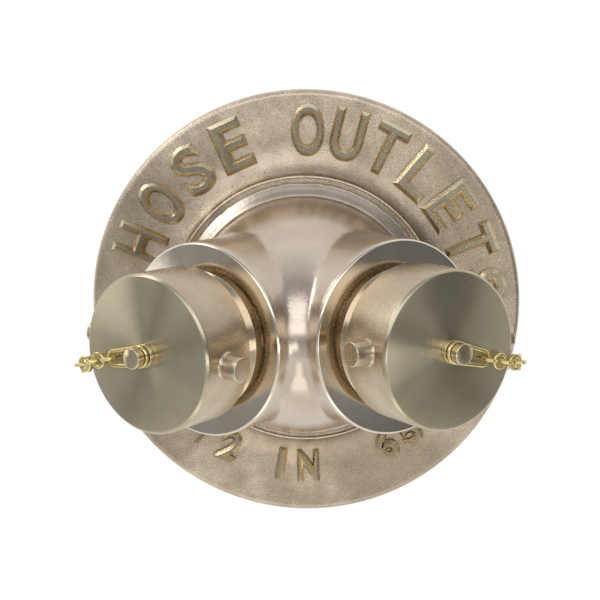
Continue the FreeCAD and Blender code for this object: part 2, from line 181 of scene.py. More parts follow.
def threadData(start, finish, root, crest, pitch, inward=False, around=96):
    # helical ridge between two places along x, fading out at both ends; in mm
    overlap, fadeTurns = 0.3, 0.4
    points, faces = [], []
    total = int(((finish - start) / pitch - 1) * around)
    sunk = root + (overlap if inward else -overlap)
    for step in range(total + 1):
        angle = 2 * math.pi * step / around
        fade = min(1, step / (around * fadeTurns), (total - step) / (around * fadeTurns))
        middle = start + pitch * (0.5 + step / around)
        top = root + (crest - root) * fade
        # shares of the pitch, and radii
        profile = ((-0.47, sunk), (-0.40, root), (-0.09, top), (0.09, top), (0.40, root), (0.47, sunk))
        for offset, radius in profile:
            points.append(((middle + offset * pitch) * mm, radius * mm * math.cos(angle),
                           radius * mm * math.sin(angle)))
    for step in range(total):
        for corner in range(len(profile) - 1):
            a, b = step * len(profile) + corner, (step + 1) * len(profile) + corner
            faces.append((a, b, b + 1, a + 1) if inward else (a, a + 1, b + 1, b))
    return points, faces


# finishes
def addNode(tree, kind, **settings):
    node = tree.nodes.new(kind)
    for name, value in settings.items():
        if name in node.inputs:
            node.inputs[name].default_value = value
        else:
            setattr(node, name, value)
    return node


def ramp(tree, source, low, high, lowColour, highColour):
    node = addNode(tree, "ShaderNodeValToRGB")
    node.color_ramp.elements[0].position, node.color_ramp.elements[1].position = low, high
    node.color_ramp.elements[0].color, node.color_ramp.elements[1].color = lowColour, highColour
    tree.links.new(source, node.inputs["Fac"])
    return node.outputs["Color"]


def remap(tree, source, fromLow, fromHigh, toLow, toHigh):
    node = addNode(tree, "ShaderNodeMapRange", **{"From Min": fromLow, "From Max": fromHigh,
                                                   "To Min": toLow, "To Max": toHigh})
    tree.links.new(source, node.inputs["Value"])
    return node.outputs["Result"]


def reckon(tree, operation, first, second):
    node = addNode(tree, "ShaderNodeMath", operation=operation)
    for socket, value in zip(node.inputs, (first, second)):
        if isinstance(value, (int, float)):
            socket.default_value = value
        else:
            tree.links.new(value, socket)
    return node.outputs["Value"]


def mixColour(tree, factor, first, second):
    node = addNode(tree, "ShaderNodeMix", data_type="RGBA")
    tree.links.new(factor, node.inputs["Factor"])
    for socket, value in ((node.inputs[6], first), (node.inputs[7], second)):
        if isinstance(value, tuple):
            socket.default_value = value
        else:
            tree.links.new(value, socket)
    return node.outputs[2]


def newFinish(name):
    material = bpy.data.materials.new(name)
    material.use_nodes = True
    return material, material.node_tree, material.node_tree.nodes["Principled BSDF"]


def addBump(tree, height, distance, strength, before=None):
    bump = addNode(tree, "ShaderNodeBump", Distance=distance, Strength=strength)
    tree.links.new(height, bump.inputs["Height"])
    if before is not None:
        tree.links.new(before, bump.inputs["Normal"])
    return bump.outputs["Normal"]


def addNoise(tree, place, scale, detail):
    node = addNode(tree, "ShaderNodeTexNoise", Scale=scale, Detail=detail, Roughness=0.6)
    tree.links.new(place, node.inputs["Vector"])
    return node.outputs["Fac"]


# how the noises of a cast skin are read, and how high its bumps are in metres at a strength of 1
castSkin = {"patches": (0.35, 0.68), "clouds": (0.43, 0.62), "cloudScale": 0.37, "grains": (0.30, 0.50),
            "edgeWearAndHighlight": (0.505, 0.56), "sheen": (0.3, 0.7), "waves": 0.0012, "grainHeight": 0.0006, "pitHeight": 0.0004}


def castFinish(name, look, skin=castSkin):
    # sand-cast metal: tarnished patches, fine grain with pits, and brighter edges that are partly rubbed wear and
    # partly a painted edge highlight
    material, tree, shader = newFinish(name)
    shader.inputs["Metallic"].default_value = look["metallic"]
    place = addNode(tree, "ShaderNodeTexCoord").outputs["Object"]
    patch = addNoise(tree, place, look["patchScale"], 3)
    grain = addNoise(tree, place, look["grainScale"], 5)
    pits = addNoise(tree, place, look["pitScale"], 2)
    cloud = addNoise(tree, place, look["patchScale"] * skin["cloudScale"], 4)
    colour = ramp(tree, patch, *skin["patches"], look["dark"], look["light"])
    colour = mixColour(tree, remap(tree, cloud, *skin["clouds"], 0, look["tarnishMix"]), colour, look["tarnish"])
    colour = mixColour(tree, remap(tree, grain, *skin["grains"], look["grainMix"], 0), colour, look["dirt"])
    # painted edge highlight mixed with real rubbed wear: edges lighten by their pointiness towards a pale colour
    edges = addNode(tree, "ShaderNodeNewGeometry").outputs["Pointiness"]
    colour = mixColour(tree, remap(tree, edges, *skin["edgeWearAndHighlight"], 0, look["edgeWearAndHighlightMix"]), colour, look["edgeWearAndHighlightColour"])
    tree.links.new(colour, shader.inputs["Base Color"])
    tree.links.new(remap(tree, grain, *skin["sheen"], look["smoothest"], look["roughest"]), shader.inputs["Roughness"])
    normal = addBump(tree, patch, skin["waves"], look["waviness"])
    normal = addBump(tree, grain, skin["grainHeight"], look["grainDepth"], normal)
    normal = addBump(tree, pits, skin["pitHeight"], look["pitDepth"], normal)
    tree.links.new(normal, shader.inputs["Normal"])
    return material


# the same for a turned skin; the gleam spreads across the rings
turnedSkin = {"stains": (0.35, 0.68), "rings": (0.35, 0.65), "sheen": (0.3, 0.7), "ringHeight": 0.0002,
              "spreadTurn": 0.25}


def turnedFinish(name, look, skin=turnedSkin):
    # lathe-turned metal: fine rings round the piece's own x axis, with faint stains
    material, tree, shader = newFinish(name)
    shader.inputs["Metallic"].default_value = look["metallic"]
    place = addNode(tree, "ShaderNodeTexCoord").outputs["Object"]
    split = addNode(tree, "ShaderNodeSeparateXYZ")
    tree.links.new(place, split.inputs["Vector"])
    across = addNode(tree, "ShaderNodeCombineXYZ")
    tree.links.new(split.outputs["Y"], across.inputs["X"])
    tree.links.new(split.outputs["Z"], across.inputs["Y"])
    reach = addNode(tree, "ShaderNodeVectorMath", operation="LENGTH")
    tree.links.new(across.outputs["Vector"], reach.inputs[0])
    rings = addNode(tree, "ShaderNodeTexNoise", noise_dimensions="1D", Scale=look["ringScale"], Detail=3)
    tree.links.new(reckon(tree, "ADD", reach.outputs["Value"], split.outputs["X"]), rings.inputs["W"])
    stain = addNoise(tree, place, look["stainScale"], 4)
    colour = ramp(tree, stain, *skin["stains"], look["dark"], look["light"])
    colour = mixColour(tree, remap(tree, rings.outputs["Fac"], *skin["rings"], 0, look["ringMix"]), colour,
                       look["ringColour"])
    tree.links.new(colour, shader.inputs["Base Color"])
    tree.links.new(remap(tree, stain, *skin["sheen"], look["smoothest"], look["roughest"]), shader.inputs["Roughness"])
    normal = addBump(tree, rings.outputs["Fac"], skin["ringHeight"], look["ringDepth"])
    if look["domed"]:  # leans the normals outwards, as on a slightly domed face
        normal = addBump(tree, reckon(tree, "MULTIPLY", reach.outputs["Value"], -look["domed"]), 1.0, 1.0, normal)
    tree.links.new(normal, shader.inputs["Normal"])
    shader.inputs["Anisotropic"].default_value = look["grooved"]
    shader.inputs["Anisotropic Rotation"].default_value = skin["spreadTurn"]
    around = addNode(tree, "ShaderNodeTangent", direction_type="RADIAL", axis="X")
    tree.links.new(around.outputs["Tangent"], shader.inputs["Tangent"])
    return material


# in each cast look the pale edge colour and its share are partly rubbed wear and partly a painted edge highlight
plateLook = {"metallic": 0.95, "dark": srgb(176, 158, 136), "light": srgb(216, 197, 172), "dirt": srgb(104, 90, 74),
             "tarnish": srgb(152, 137, 116), "tarnishMix": 0.75, "edgeWearAndHighlightColour": srgb(246, 232, 208), "patchScale": 30,
             "grainScale": 900, "pitScale": 1900, "grainMix": 0.3, "edgeWearAndHighlightMix": 0.6, "smoothest": 0.2, "roughest": 0.38,
             "waviness": 1.6, "grainDepth": 0.4, "pitDepth": 0.35}
bodyLook = {"metallic": 1.0, "dark": srgb(190, 175, 158), "light": srgb(207, 192, 175), "dirt": srgb(166, 150, 132),
            "tarnish": srgb(181, 168, 153), "tarnishMix": 0.5, "edgeWearAndHighlightColour": srgb(232, 220, 206), "patchScale": 24,
            "grainScale": 800, "pitScale": 1700, "grainMix": 0.2, "edgeWearAndHighlightMix": 0.3, "smoothest": 0.16, "roughest": 0.27,
            "waviness": 0.2, "grainDepth": 0.16, "pitDepth": 0.1}
capWallLook = {"metallic": 1.0, "dark": srgb(182, 164, 139), "light": srgb(199, 182, 157), "dirt": srgb(146, 128, 102),
               "tarnish": srgb(172, 155, 130), "tarnishMix": 0.5, "edgeWearAndHighlightColour": srgb(230, 216, 194), "patchScale": 40,
               "grainScale": 900, "pitScale": 1700, "grainMix": 0.2, "edgeWearAndHighlightMix": 0.4, "smoothest": 0.22, "roughest": 0.34,
               "waviness": 0.14, "grainDepth": 0.12, "pitDepth": 0.06}
# letter sides: a brighter, more golden copy of the letters' cast finish, a painted highlight on the sides
letterSidePaintedHighlightLook = {"metallic": 1.0, "dark": srgb(192, 168, 126), "light": srgb(230, 208, 164), "dirt": srgb(112, 96, 66),
                  "tarnish": srgb(170, 148, 108), "tarnishMix": 0.5, "edgeWearAndHighlightColour": srgb(255, 246, 218), "patchScale": 60,
                  "grainScale": 900, "pitScale": 1900, "grainMix": 0.2, "edgeWearAndHighlightMix": 0.3, "smoothest": 0.14,
                  "roughest": 0.26, "waviness": 0.3, "grainDepth": 0.3, "pitDepth": 0.2}
# letter faces: a darker copy of the same finish, painted shade standing for the dark reflection on the flat tops
letterFacePaintedShadeLook = {"metallic": 1.0, "dark": srgb(110, 101, 85), "light": srgb(136, 125, 106), "dirt": srgb(80, 72, 58),
                  "tarnish": srgb(104, 96, 82), "tarnishMix": 0.6, "edgeWearAndHighlightColour": srgb(236, 222, 190), "patchScale": 60,
                  "grainScale": 900, "pitScale": 1900, "grainMix": 0.25, "edgeWearAndHighlightMix": 0.2, "smoothest": 0.2,
                  "roughest": 0.32, "waviness": 0.4, "grainDepth": 0.4, "pitDepth": 0.2}
chainLook = {"metallic": 1.0, "dark": srgb(208, 188, 126), "light": srgb(236, 220, 164), "dirt": srgb(128, 108, 58),
             "tarnish": srgb(188, 168, 100), "tarnishMix": 0.5, "edgeWearAndHighlightColour": srgb(255, 246, 206), "patchScale": 220,
             "grainScale": 1800, "pitScale": 2600, "grainMix": 0.25, "edgeWearAndHighlightMix": 0.3, "smoothest": 0.16, "roughest": 0.3,
             "waviness": 0.05, "grainDepth": 0.05, "pitDepth": 0.03}
rubberLook = {"metallic": 0.0, "dark": srgb(24, 23, 22), "light": srgb(40, 38, 36), "dirt": srgb(14, 14, 14),
              "tarnish": srgb(34, 33, 32), "tarnishMix": 0.5, "edgeWearAndHighlightColour": srgb(60, 58, 56), "patchScale": 60,
              "grainScale": 1200, "pitScale": 2400, "grainMix": 0.4, "edgeWearAndHighlightMix": 0.3, "smoothest": 0.6, "roughest": 0.8,
              "waviness": 0.1, "grainDepth": 0.15, "pitDepth": 0.1}
faceLook = {"metallic": 1.0, "dark": srgb(186, 175, 148), "light": srgb(196, 185, 158),
            "ringColour": srgb(176, 165, 138), "ringScale": 900, "ringMix": 0.3, "ringDepth": 0.02, "stainScale": 24,
            "smoothest": 0.24, "roughest": 0.28, "grooved": 0.95, "domed": 0.09}
collarLook = {"metallic": 1.0, "dark": srgb(212, 200, 180), "light": srgb(225, 213, 195),
              "ringColour": srgb(202, 189, 168), "ringScale": 1400, "ringMix": 0.25, "ringDepth": 0.05,
              "stainScale": 40, "smoothest": 0.09, "roughest": 0.15, "grooved": 0.3, "domed": 0}
trimLook = {"metallic": 1.0, "dark": srgb(206, 190, 154), "light": srgb(228, 213, 180),
            "ringColour": srgb(186, 168, 126), "ringScale": 2500, "ringMix": 0.25, "ringDepth": 0.08,
            "stainScale": 160, "smoothest": 0.14, "roughest": 0.24, "grooved": 0.3, "domed": 0}
plateCast = castFinish("plateCast", plateLook)
bodyCast = castFinish("bodyCast", bodyLook)
capWall = castFinish("capWall", capWallLook)
letterSidePaintedHighlight = castFinish("letterSidePaintedHighlight", letterSidePaintedHighlightLook)
letterFacePaintedShade = castFinish("letterFacePaintedShade", letterFacePaintedShadeLook)
chainWire = castFinish("chainWire", chainLook)
gasketRubber = castFinish("gasketRubber", rubberLook)
capFace = turnedFinish("capFace", faceLook)
collarTurned = turnedFinish("collarTurned", collarLook)
trimTurned = turnedFinish("trimTurned", trimLook)
print("finishes ready:", len(bpy.data.materials))


# wall plate: round rim, band that rises a little, hollow flare up to the lip, hollow back with a foot ring
plate = {"radius": 137.5, "rimHeight": 7.0, "rimRound": 4.0, "bandHeight": 9.5, "flareStart": 96.5,
         "flareBlend": 111.0, "lipHeight": 22.0, "lipRadius": 85.0, "lipRound": 1.0, "lipThickness": 5.0, "seat": 83.4,
         "seatDepth": 1.5, "seatEdge": 0.3, "hole": 76.5, "lipBackRadius": 79.463, "wall": 6.0, "hollow": 1.5,
         "foot": 4.5, "around": 256, "bandSteps": 8, "flareSteps": 16, "lipSteps": 4, "sharp": 50}


def makePlate(p):
    lip, lipRadius, lipRound = p["lipHeight"], p["lipRadius"], p["lipRound"]
    seatFloor, lipBack, footInside = lip - p["seatDepth"], lip - p["lipThickness"], p["radius"] - p["foot"]
    outline = [(0, p["radius"]), (p["rimHeight"] - p["rimRound"], p["radius"])]
    outline += arcBetween(outline[-1], (p["rimHeight"], p["radius"] - p["rimRound"]), -p["rimRound"])
    rim, bandEnd = Vector(outline[-1]), Vector((p["bandHeight"], p["flareStart"]))
    blend = rim.lerp(bandEnd, (rim.y - p["flareBlend"]) / (rim.y - bandEnd.y))  # where the band starts to curve up
    outline += [tuple(rim.lerp(blend, step / p["bandSteps"])) for step in range(1, p["bandSteps"] + 1)]
    for step in range(1, p["flareSteps"] + 1):
        angle = math.pi / 2 * step / p["flareSteps"]
        outline.append((blend.x + (lip - lipRound - blend.x) * (1 - math.cos(angle)),
                        blend.y - (blend.y - lipRadius) * math.sin(angle)))
    outline += arcBetween(outline[-1], (lip, lipRadius - lipRound), -lipRound, p["lipSteps"])
    outline += [(lip, p["seat"] + p["seatEdge"]), (lip - p["seatEdge"], p["seat"]), (seatFloor, p["seat"]),
                (seatFloor, p["hole"]), (lipBack, p["hole"]), (lipBack, p["lipBackRadius"]),
                (p["bandHeight"] - p["wall"], p["flareStart"]), (p["hollow"], footInside), (0, footInside)]
    data = latheData(outline, p["around"], closed=True)
    return meshPiece("wallPlate", *data, wallPlace, [plateCast], sharp=p["sharp"])


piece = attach(makePlate(plate), "hydrant")
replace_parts(piece, "wall_plate")


# raised words round the plate: clockwise degrees from the top, then radii of foot and head
words = {"top": "HOSEOUTLETS", "topTurns": (-68, -53, -38, -23, 2, 15, 28, 42, 56, 70, 84), "topRadii": (96, 129),
         "topWidth": 21.0, "bottom": "2 1/2 IN  65 MM", "bottomStep": 9.6, "bottomRadii": (117, 94),
         "bottomWidth": 14.5, "slimLetters": "1I/", "slimShare": 0.4, "raised": 4.0, "sunk": 1.4, "draft": 2.4,
         "stroke": -0.5, "curveSteps": 5, "sharp": 30, "faceSlope": 0.9}


def makeLetter(character, width, height, w):
    curve = bpy.data.curves.new("letter", "FONT")
    curve.body = character
    curve.resolution_u = w["curveSteps"]
    capHeight = 0.73  # of the font, in its own units
    unit = height / capHeight
    curve.offset = w["stroke"] / unit
    curve.bevel_depth, curve.bevel_resolution = w["draft"] / unit, 0
    curve.extrude = ((w["raised"] + w["sunk"]) / 2 - w["draft"]) / unit
    shape = bpy.data.objects.new("letter", curve)
    bpy.context.scene.collection.objects.link(shape)
    solid = bpy.data.meshes.new_from_object(shape.evaluated_get(bpy.context.evaluated_depsgraph_get()))
    bpy.data.objects.remove(shape)
    low, high = ([pick(v.co[axis] for v in solid.vertices) for axis in (0, 1, 2)] for pick in (min, max))
    slim = min(width / (high[0] - low[0]), unit)
    points = [Vector(((v.co.x - (low[0] + high[0]) / 2) * slim, (v.co.y - low[1]) * height / (high[1] - low[1]),
                      (v.co.z - low[2]) * unit - w["sunk"])) for v in solid.vertices]
    faces = [tuple(polygon.vertices) for polygon in solid.polygons]
    bpy.data.meshes.remove(solid)
    return points, faces


def makeWords(w, p):
    parts = []

    def setLetter(character, turn, foot, head, width):
        points, faces = makeLetter(character, width, abs(head - foot), w)
        angle = math.radians(turn)
        up = Vector((math.sin(angle), 0, math.cos(angle)))
        across = Vector((math.cos(angle), 0, -math.sin(angle)))
        if head < foot:
            across = -across
        placed = []
        for point in points:
            radius = foot + math.copysign(point.y, head - foot)
            slope = (p["radius"] - p["rimRound"] - radius) / (p["radius"] - p["rimRound"] - p["flareStart"])
            ground = p["rimHeight"] + (p["bandHeight"] - p["rimHeight"]) * min(max(slope, 0), 1)
            spot = up * radius + across * point.x + Vector((0, -1, 0)) * (ground + point.z)
            placed.append(spot * mm)
        parts.append((placed, faces))

    for character, turn in zip(w["top"], w["topTurns"]):
        setLetter(character, turn, *w["topRadii"], w["topWidth"])
    first = 180 + w["bottomStep"] * (len(w["bottom"]) - 1) / 2
    for index, character in enumerate(w["bottom"]):
        if character != " ":
            width = w["bottomWidth"] * (w["slimShare"] if character in w["slimLetters"] else 1)
            setLetter(character, first - index * w["bottomStep"], *w["bottomRadii"], width)

    # faces turned to the front get the darker painted-shade finish, all other faces the brighter painted-highlight
    # finish
    def pickFinish(polygon):
        return 1 if polygon.normal.y < -w["faceSlope"] else 0

    finishes = [letterSidePaintedHighlight, letterFacePaintedShade]
    return meshPiece("plateWords", *joined(*parts), materials=finishes, sharp=w["sharp"], pick=pickFinish)


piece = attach(makeWords(words, plate), "hydrant")
print("plate and its words made")


# cast body: the solid made smooth, cut off where the turned outlet and inlet ends begin
casting = {"voxel": 1.7, "softness": 0.5, "rounds": 6, "outletCut": 96.2, "inletCut": -41.0}


def makeBody(c):
    piece = bpy.data.objects.new("hydrantCasting", nodes["hydrant_body"].data.copy())
    bpy.context.scene.collection.objects.link(piece)
    remesh = piece.modifiers.new("even", "REMESH")
    remesh.mode, remesh.voxel_size = "VOXEL", c["voxel"] * mm
    smooth = piece.modifiers.new("soft", "SMOOTH")
    smooth.factor, smooth.iterations = c["softness"], c["rounds"]
    mesh = bpy.data.meshes.new_from_object(piece.evaluated_get(bpy.context.evaluated_depsgraph_get()))
    piece.modifiers.clear()
    piece.data = mesh
    work = bmesh.new()
    work.from_mesh(mesh)
    cuts = [(outletPlace(side), c["outletCut"], 1) for side in sides] + [(wallPlace, c["inletCut"], -1)]
    for place, where, way in cuts:
        spot, outward = place @ Vector((where * mm, 0, 0)), place.to_3x3() @ Vector((way, 0, 0))
        bmesh.ops.bisect_plane(work, geom=work.verts[:] + work.edges[:] + work.faces[:], plane_co=spot,
                               plane_no=outward, clear_outer=True)
    work.to_mesh(mesh)
    work.free()
    mesh.materials.clear()
    mesh.materials.append(bodyCast)
    mesh.shade_smooth()
    return piece


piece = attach(makeBody(casting), "hydrant")
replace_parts(piece, "hydrant_body")
print("cast body made:", len(piece.data.polygons), "faces")

# turned inlet end behind the wall, with its pipe thread
inlet = {"back": -45.0, "start": -41.0, "radius": 71.95, "chamfer": 1.5, "lead": 59.0, "leadDepth": 2.2, "root": 56.65,
         "crest": 55.0, "runIn": 0.6, "threadEnd": -11.2, "backing": 60.0, "pitch": 3.175, "edge": 0.4, "around": 192}


def makeInletEnd(i):
    back = i["back"]
    outline = [(i["start"], i["radius"]), (back + i["chamfer"], i["radius"]), (back, i["radius"] - i["chamfer"]),
               (back, i["lead"]), (back + i["leadDepth"], i["root"]), (i["threadEnd"], i["root"]),
               (i["threadEnd"], i["backing"]), (i["start"], i["backing"])]
    boss = latheData(softened(outline[::-1], i["edge"], closed=True), i["around"], closed=True)
    thread = threadData(back + i["runIn"], i["threadEnd"], i["root"], i["crest"], i["pitch"], inward=True)
    return meshPiece("inletEnd", *joined(boss, thread), wallPlace, [collarTurned])


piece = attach(makeInletEnd(inlet), "hydrant")
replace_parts(piece, "hydrant_body")

# turned outlet ends with their hose threads
outletEnd = {"start": 95.6, "inset": 0.02, "chamfer": 1.0, "neckRadius": 40.0, "neckEnd": 106.0, "core": 36.8,
             "crest": 38.75, "runIn": 1.2, "runOut": 1.0, "pitch": 3.387, "bore": 31.75, "mouthChamfer": 1.5,
             "edge": 0.35, "around": 192}


def makeOutletEnd(side, o):
    reach, collar, end = outlets["collar"], outlets["collarRadius"], outlets["end"]
    outline = [(o["start"], o["bore"]), (o["start"], collar - o["inset"]), (reach - o["chamfer"], collar),
               (reach, collar - o["chamfer"]), (reach, o["neckRadius"]), (o["neckEnd"], o["neckRadius"]),
               (o["neckEnd"], o["core"]), (end - o["mouthChamfer"], o["core"]), (end, o["core"] - o["mouthChamfer"]),
               (end, o["bore"])]
    nipple = latheData(softened(outline, o["edge"], closed=True), o["around"], closed=True)
    thread = threadData(o["neckEnd"] + o["runIn"], end - o["runOut"], o["core"], o["crest"], o["pitch"])
    return meshPiece(side + "OutletEnd", *joined(nipple, thread), outletPlace(side), [collarTurned])


# screw cap and its two lugs
cap = {"radius": 44.5, "rimChamfer": 0.8, "faceChamfer": 1.4, "faceMargin": 0.2, "top": 7.0, "bore": 39.3,
       "edge": 0.5, "stud": 3.0, "around": 192}
lug = {"radius": 6.8, "tip": 55.0, "side": 3.0, "setback": 16.0, "edge": 0.8, "edgeSteps": 4, "root": 1.6,
       "rootCurve": ((1.0, -0.6), (0.45, 0.25), (0.12, 0.88), (0, 1.76)),  # share of the root, height over the wall
       "around": 48, "turn": {"left": 5.0, "right": 3.0}}


def makeCap(side, c):
    rim, face = outlets["rim"], outlets["face"]
    outline = [(face - c["top"], c["stud"]), (face - c["top"], c["bore"]), (rim, c["bore"]),
               (rim, c["radius"] - c["rimChamfer"]), (rim + c["rimChamfer"], c["radius"]),
               (face - c["faceChamfer"], c["radius"]), (face, c["radius"] - c["faceChamfer"]), (face, c["stud"])]
    cup = latheData(softened(outline, c["edge"], closed=True), c["around"], closed=True)

    def pickFinish(polygon):
        return 1 if polygon.center.x > (face - c["faceChamfer"] - c["faceMargin"]) * mm else 0

    return meshPiece(side + "Cap", *cup, outletPlace(side), [capWall, capFace], pick=pickFinish)


def makeLugs(side, g):
    around = g["around"]
    angles = [2 * math.pi * step / around for step in range(around)]
    spokes = [(math.cos(angle), math.sin(angle)) for angle in angles]
    points, faces, both = [], [], []
    for spread, lift in g["rootCurve"]:
        radius = g["radius"] + g["root"] * spread
        for c, s in spokes:
            points.append((radius * c, radius * s, math.sqrt(cap["radius"] ** 2 - (radius * s) ** 2) + lift))
    tip = [(g["radius"], g["tip"] - g["side"]), (g["radius"], g["tip"]), (1, g["tip"])]
    for radius, height in softened(tip, g["edge"], g["edgeSteps"])[:-1]:
        points += [(radius * c, radius * s, height) for c, s in spokes]
    for row in range(len(points) // around - 1):
        for step in range(around):
            a, b, following = row * around, (row + 1) * around, (step + 1) % around
            faces.append((a + step, a + following, b + following, b + step))
    faces.append(tuple(range(len(points) - around, len(points))))
    stem = [Vector(point) * mm for point in points], faces
    along = Matrix.Translation(((outlets["face"] - g["setback"]) * mm, 0, 0))
    for turn in (90 - g["turn"][side], 270 - g["turn"][side]):
        both.append(moved(stem, along @ Matrix.Rotation(math.radians(turn), 4, "X")))
    return meshPiece(side + "CapLugs", *joined(*both), outletPlace(side), [capWall])


# rubber washer in the cap
gasket = {"thick": 4.8, "inner": 30.5, "outer": 38.8, "edge": 0.5, "around": 128}


def makeGasket(side, g):
    top = outlets["face"] - cap["top"]
    outline = [(top - g["thick"], g["inner"]), (top - g["thick"], g["outer"]), (top, g["outer"]), (top, g["inner"])]
    data = latheData(softened(outline, g["edge"], closed=True), g["around"], closed=True)
    return meshPiece(side + "Gasket", *data, outletPlace(side), [gasketRubber])


# grooved stud, riveted inside the cap
stud = {"flange": 6.6, "flangeHeight": 3.0, "groove": 3.6, "grooveLength": 4.0, "head": 5.8, "headSide": 4.6,
        "dome": 0.8, "shank": 3.0, "rivet": 5.0, "rivetHeight": 1.4, "edge": 0.6, "edgeSteps": 5, "around": 96}


def makeStud(side, s):
    face = outlets["face"]
    groove = face + s["flangeHeight"]
    head = groove + s["grooveLength"]
    tip = head + s["headSide"]
    inside = face - cap["top"]
    outline = [(inside - s["rivetHeight"], 0), (inside - s["rivetHeight"], s["rivet"]), (inside, s["rivet"]),
               (inside, s["shank"]), (face, s["shank"]), (face, s["flange"]), (groove, s["flange"]),
               (groove, s["groove"]), (head, s["groove"]), (head, s["head"]), (tip, s["head"]), (tip + s["dome"], 0)]
    data = latheData(softened(outline, s["edge"], s["edgeSteps"]), s["around"])
    return meshPiece(side + "ChainStud", *data, outletPlace(side), [trimTurned])


# pear-shaped ring of wire
ring = {"wire": 1.2, "eye": 5.4, "tip": 4.0, "length": 19.0, "drop": {"left": 9.0, "right": 17.0}, "eyeSteps": 36,
        "tipSteps": 24, "around": 16}


def ringAxes(side, r):
    middle = Vector((outlets["face"] + stud["flangeHeight"] + stud["grooveLength"] / 2, 0, 0))
    down = math.radians(r["drop"][side])
    return middle, Vector((0, sides[side] * math.cos(down), -math.sin(down)))


def makeRing(side, r):
    middle, outward = ringAxes(side, r)
    normal = Vector((1, 0, 0))
    up = normal.cross(outward)
    lean = math.acos((r["eye"] - r["tip"]) / r["length"])
    path = []
    bends = ((middle, r["eye"], lean, 2 * math.pi - lean, r["eyeSteps"]),
             (middle + outward * r["length"], r["tip"], -lean, lean, r["tipSteps"]))
    for centre, radius, first, last, steps in bends:
        for step in range(steps + 1):
            angle = first + (last - first) * step / steps
            path.append(centre + outward * radius * math.cos(angle) + up * radius * math.sin(angle))
    data = tubeData(path, r["wire"], normal, r["around"])
    return meshPiece(side + "ChainRing", *data, outletPlace(side), [chainWire])


# screw eye that the chain ends on
anchor = {"setback": 12.0, "drop": {"left": 16.0, "right": 19.0}, "sunk": 1.0, "seat": 4.0, "seatHeight": 2.0,
          "shank": 2.4, "shankHeight": 1.2, "shankTop": 1.44, "eye": 5.0, "wire": 1.4, "edge": 0.4, "steps": 48,
          "around": 16}


def anchorPlace(side, a):
    down = math.radians(a["drop"][side])
    outward = Vector((0, sides[side] * math.cos(down), -math.sin(down)))
    ahead = Vector((1, 0, 0))
    turn = Matrix((ahead, outward.cross(ahead), outward)).transposed().to_4x4()
    spot = outward * outlets["collarRadius"] + ahead * (outlets["collar"] - a["setback"])
    return Matrix.Translation(spot * mm) @ turn


def makeAnchor(side, a):
    seatTop = a["seatHeight"]
    shankEnd = seatTop + a["shankHeight"]
    outline = [(-a["sunk"], 0), (-a["sunk"], a["seat"]), (seatTop, a["seat"]), (seatTop, a["shank"]),
               (shankEnd, a["shankTop"]), (shankEnd, 0)]
    seat = latheData(softened(outline, a["edge"]), a["steps"])
    upright = Matrix.Rotation(math.radians(-90), 4, "Y")
    middle = Vector((0, 0, seatTop + a["eye"]))
    path = []
    for step in range(a["steps"]):
        angle = 2 * math.pi * step / a["steps"]
        path.append(middle + Vector((math.cos(angle), 0, math.sin(angle))) * a["eye"])
    eye = tubeData(path, a["wire"], Vector((0, 1, 0)), a["around"])
    data = moved(joined(moved(seat, upright), eye), anchorPlace(side, a))
    return meshPiece(side + "ChainAnchor", *data, outletPlace(side), [chainWire])


# jack chain from the ring over the cap's edge to the screw eye
chain = {"loop": 3.8, "wire": 1.0, "linkPlay": 0.6, "hookPlay": 0.8, "lift": 6.2,
         "drop": {"left": 15.0, "right": 17.0}, "around": 10, "steps": 28,
         "follow": (88.0, 140.0)}  # along the outlet: still before the first, with the ring after the second


def chainLine(side, c):
    middle, outward = ringAxes(side, ring)
    way = sides[side]
    drop, lift = c["drop"][side], c["lift"]
    beside = Vector((0, way * (cap["radius"] + lift), -drop))
    start = middle + outward * (ring["length"] + ring["tip"])
    eye = Vector((anchor["eye"], 0, anchor["seatHeight"] + anchor["eye"]))
    finish = (anchorPlace(side, anchor) @ (eye * mm)) / mm
    face = outlets["face"]
    poles = [start, start + outward * lift, beside + Vector((face + 1.5 * lift, -way * lift, drop / 3)),
             beside + Vector((face - lift, way * lift / 2, drop / 6)), finish + Vector((4 * lift, 0, 0)), finish]
    curve = bpy.data.curves.new("route", "CURVE")
    curve.dimensions = "3D"
    spline = curve.splines.new("NURBS")
    spline.points.add(len(poles) - 1)
    for point, pole in zip(spline.points, poles):
        point.co = (*pole, 1)
    spline.order_u, spline.use_endpoint_u, spline.resolution_u = 4, True, 64
    route = bpy.data.objects.new("route", curve)
    bpy.context.scene.collection.objects.link(route)
    line = bpy.data.meshes.new_from_object(route.evaluated_get(bpy.context.evaluated_depsgraph_get()))
    points = [vertex.co.copy() for vertex in line.vertices]
    bpy.data.objects.remove(route)
    bpy.data.meshes.remove(line)
    return points


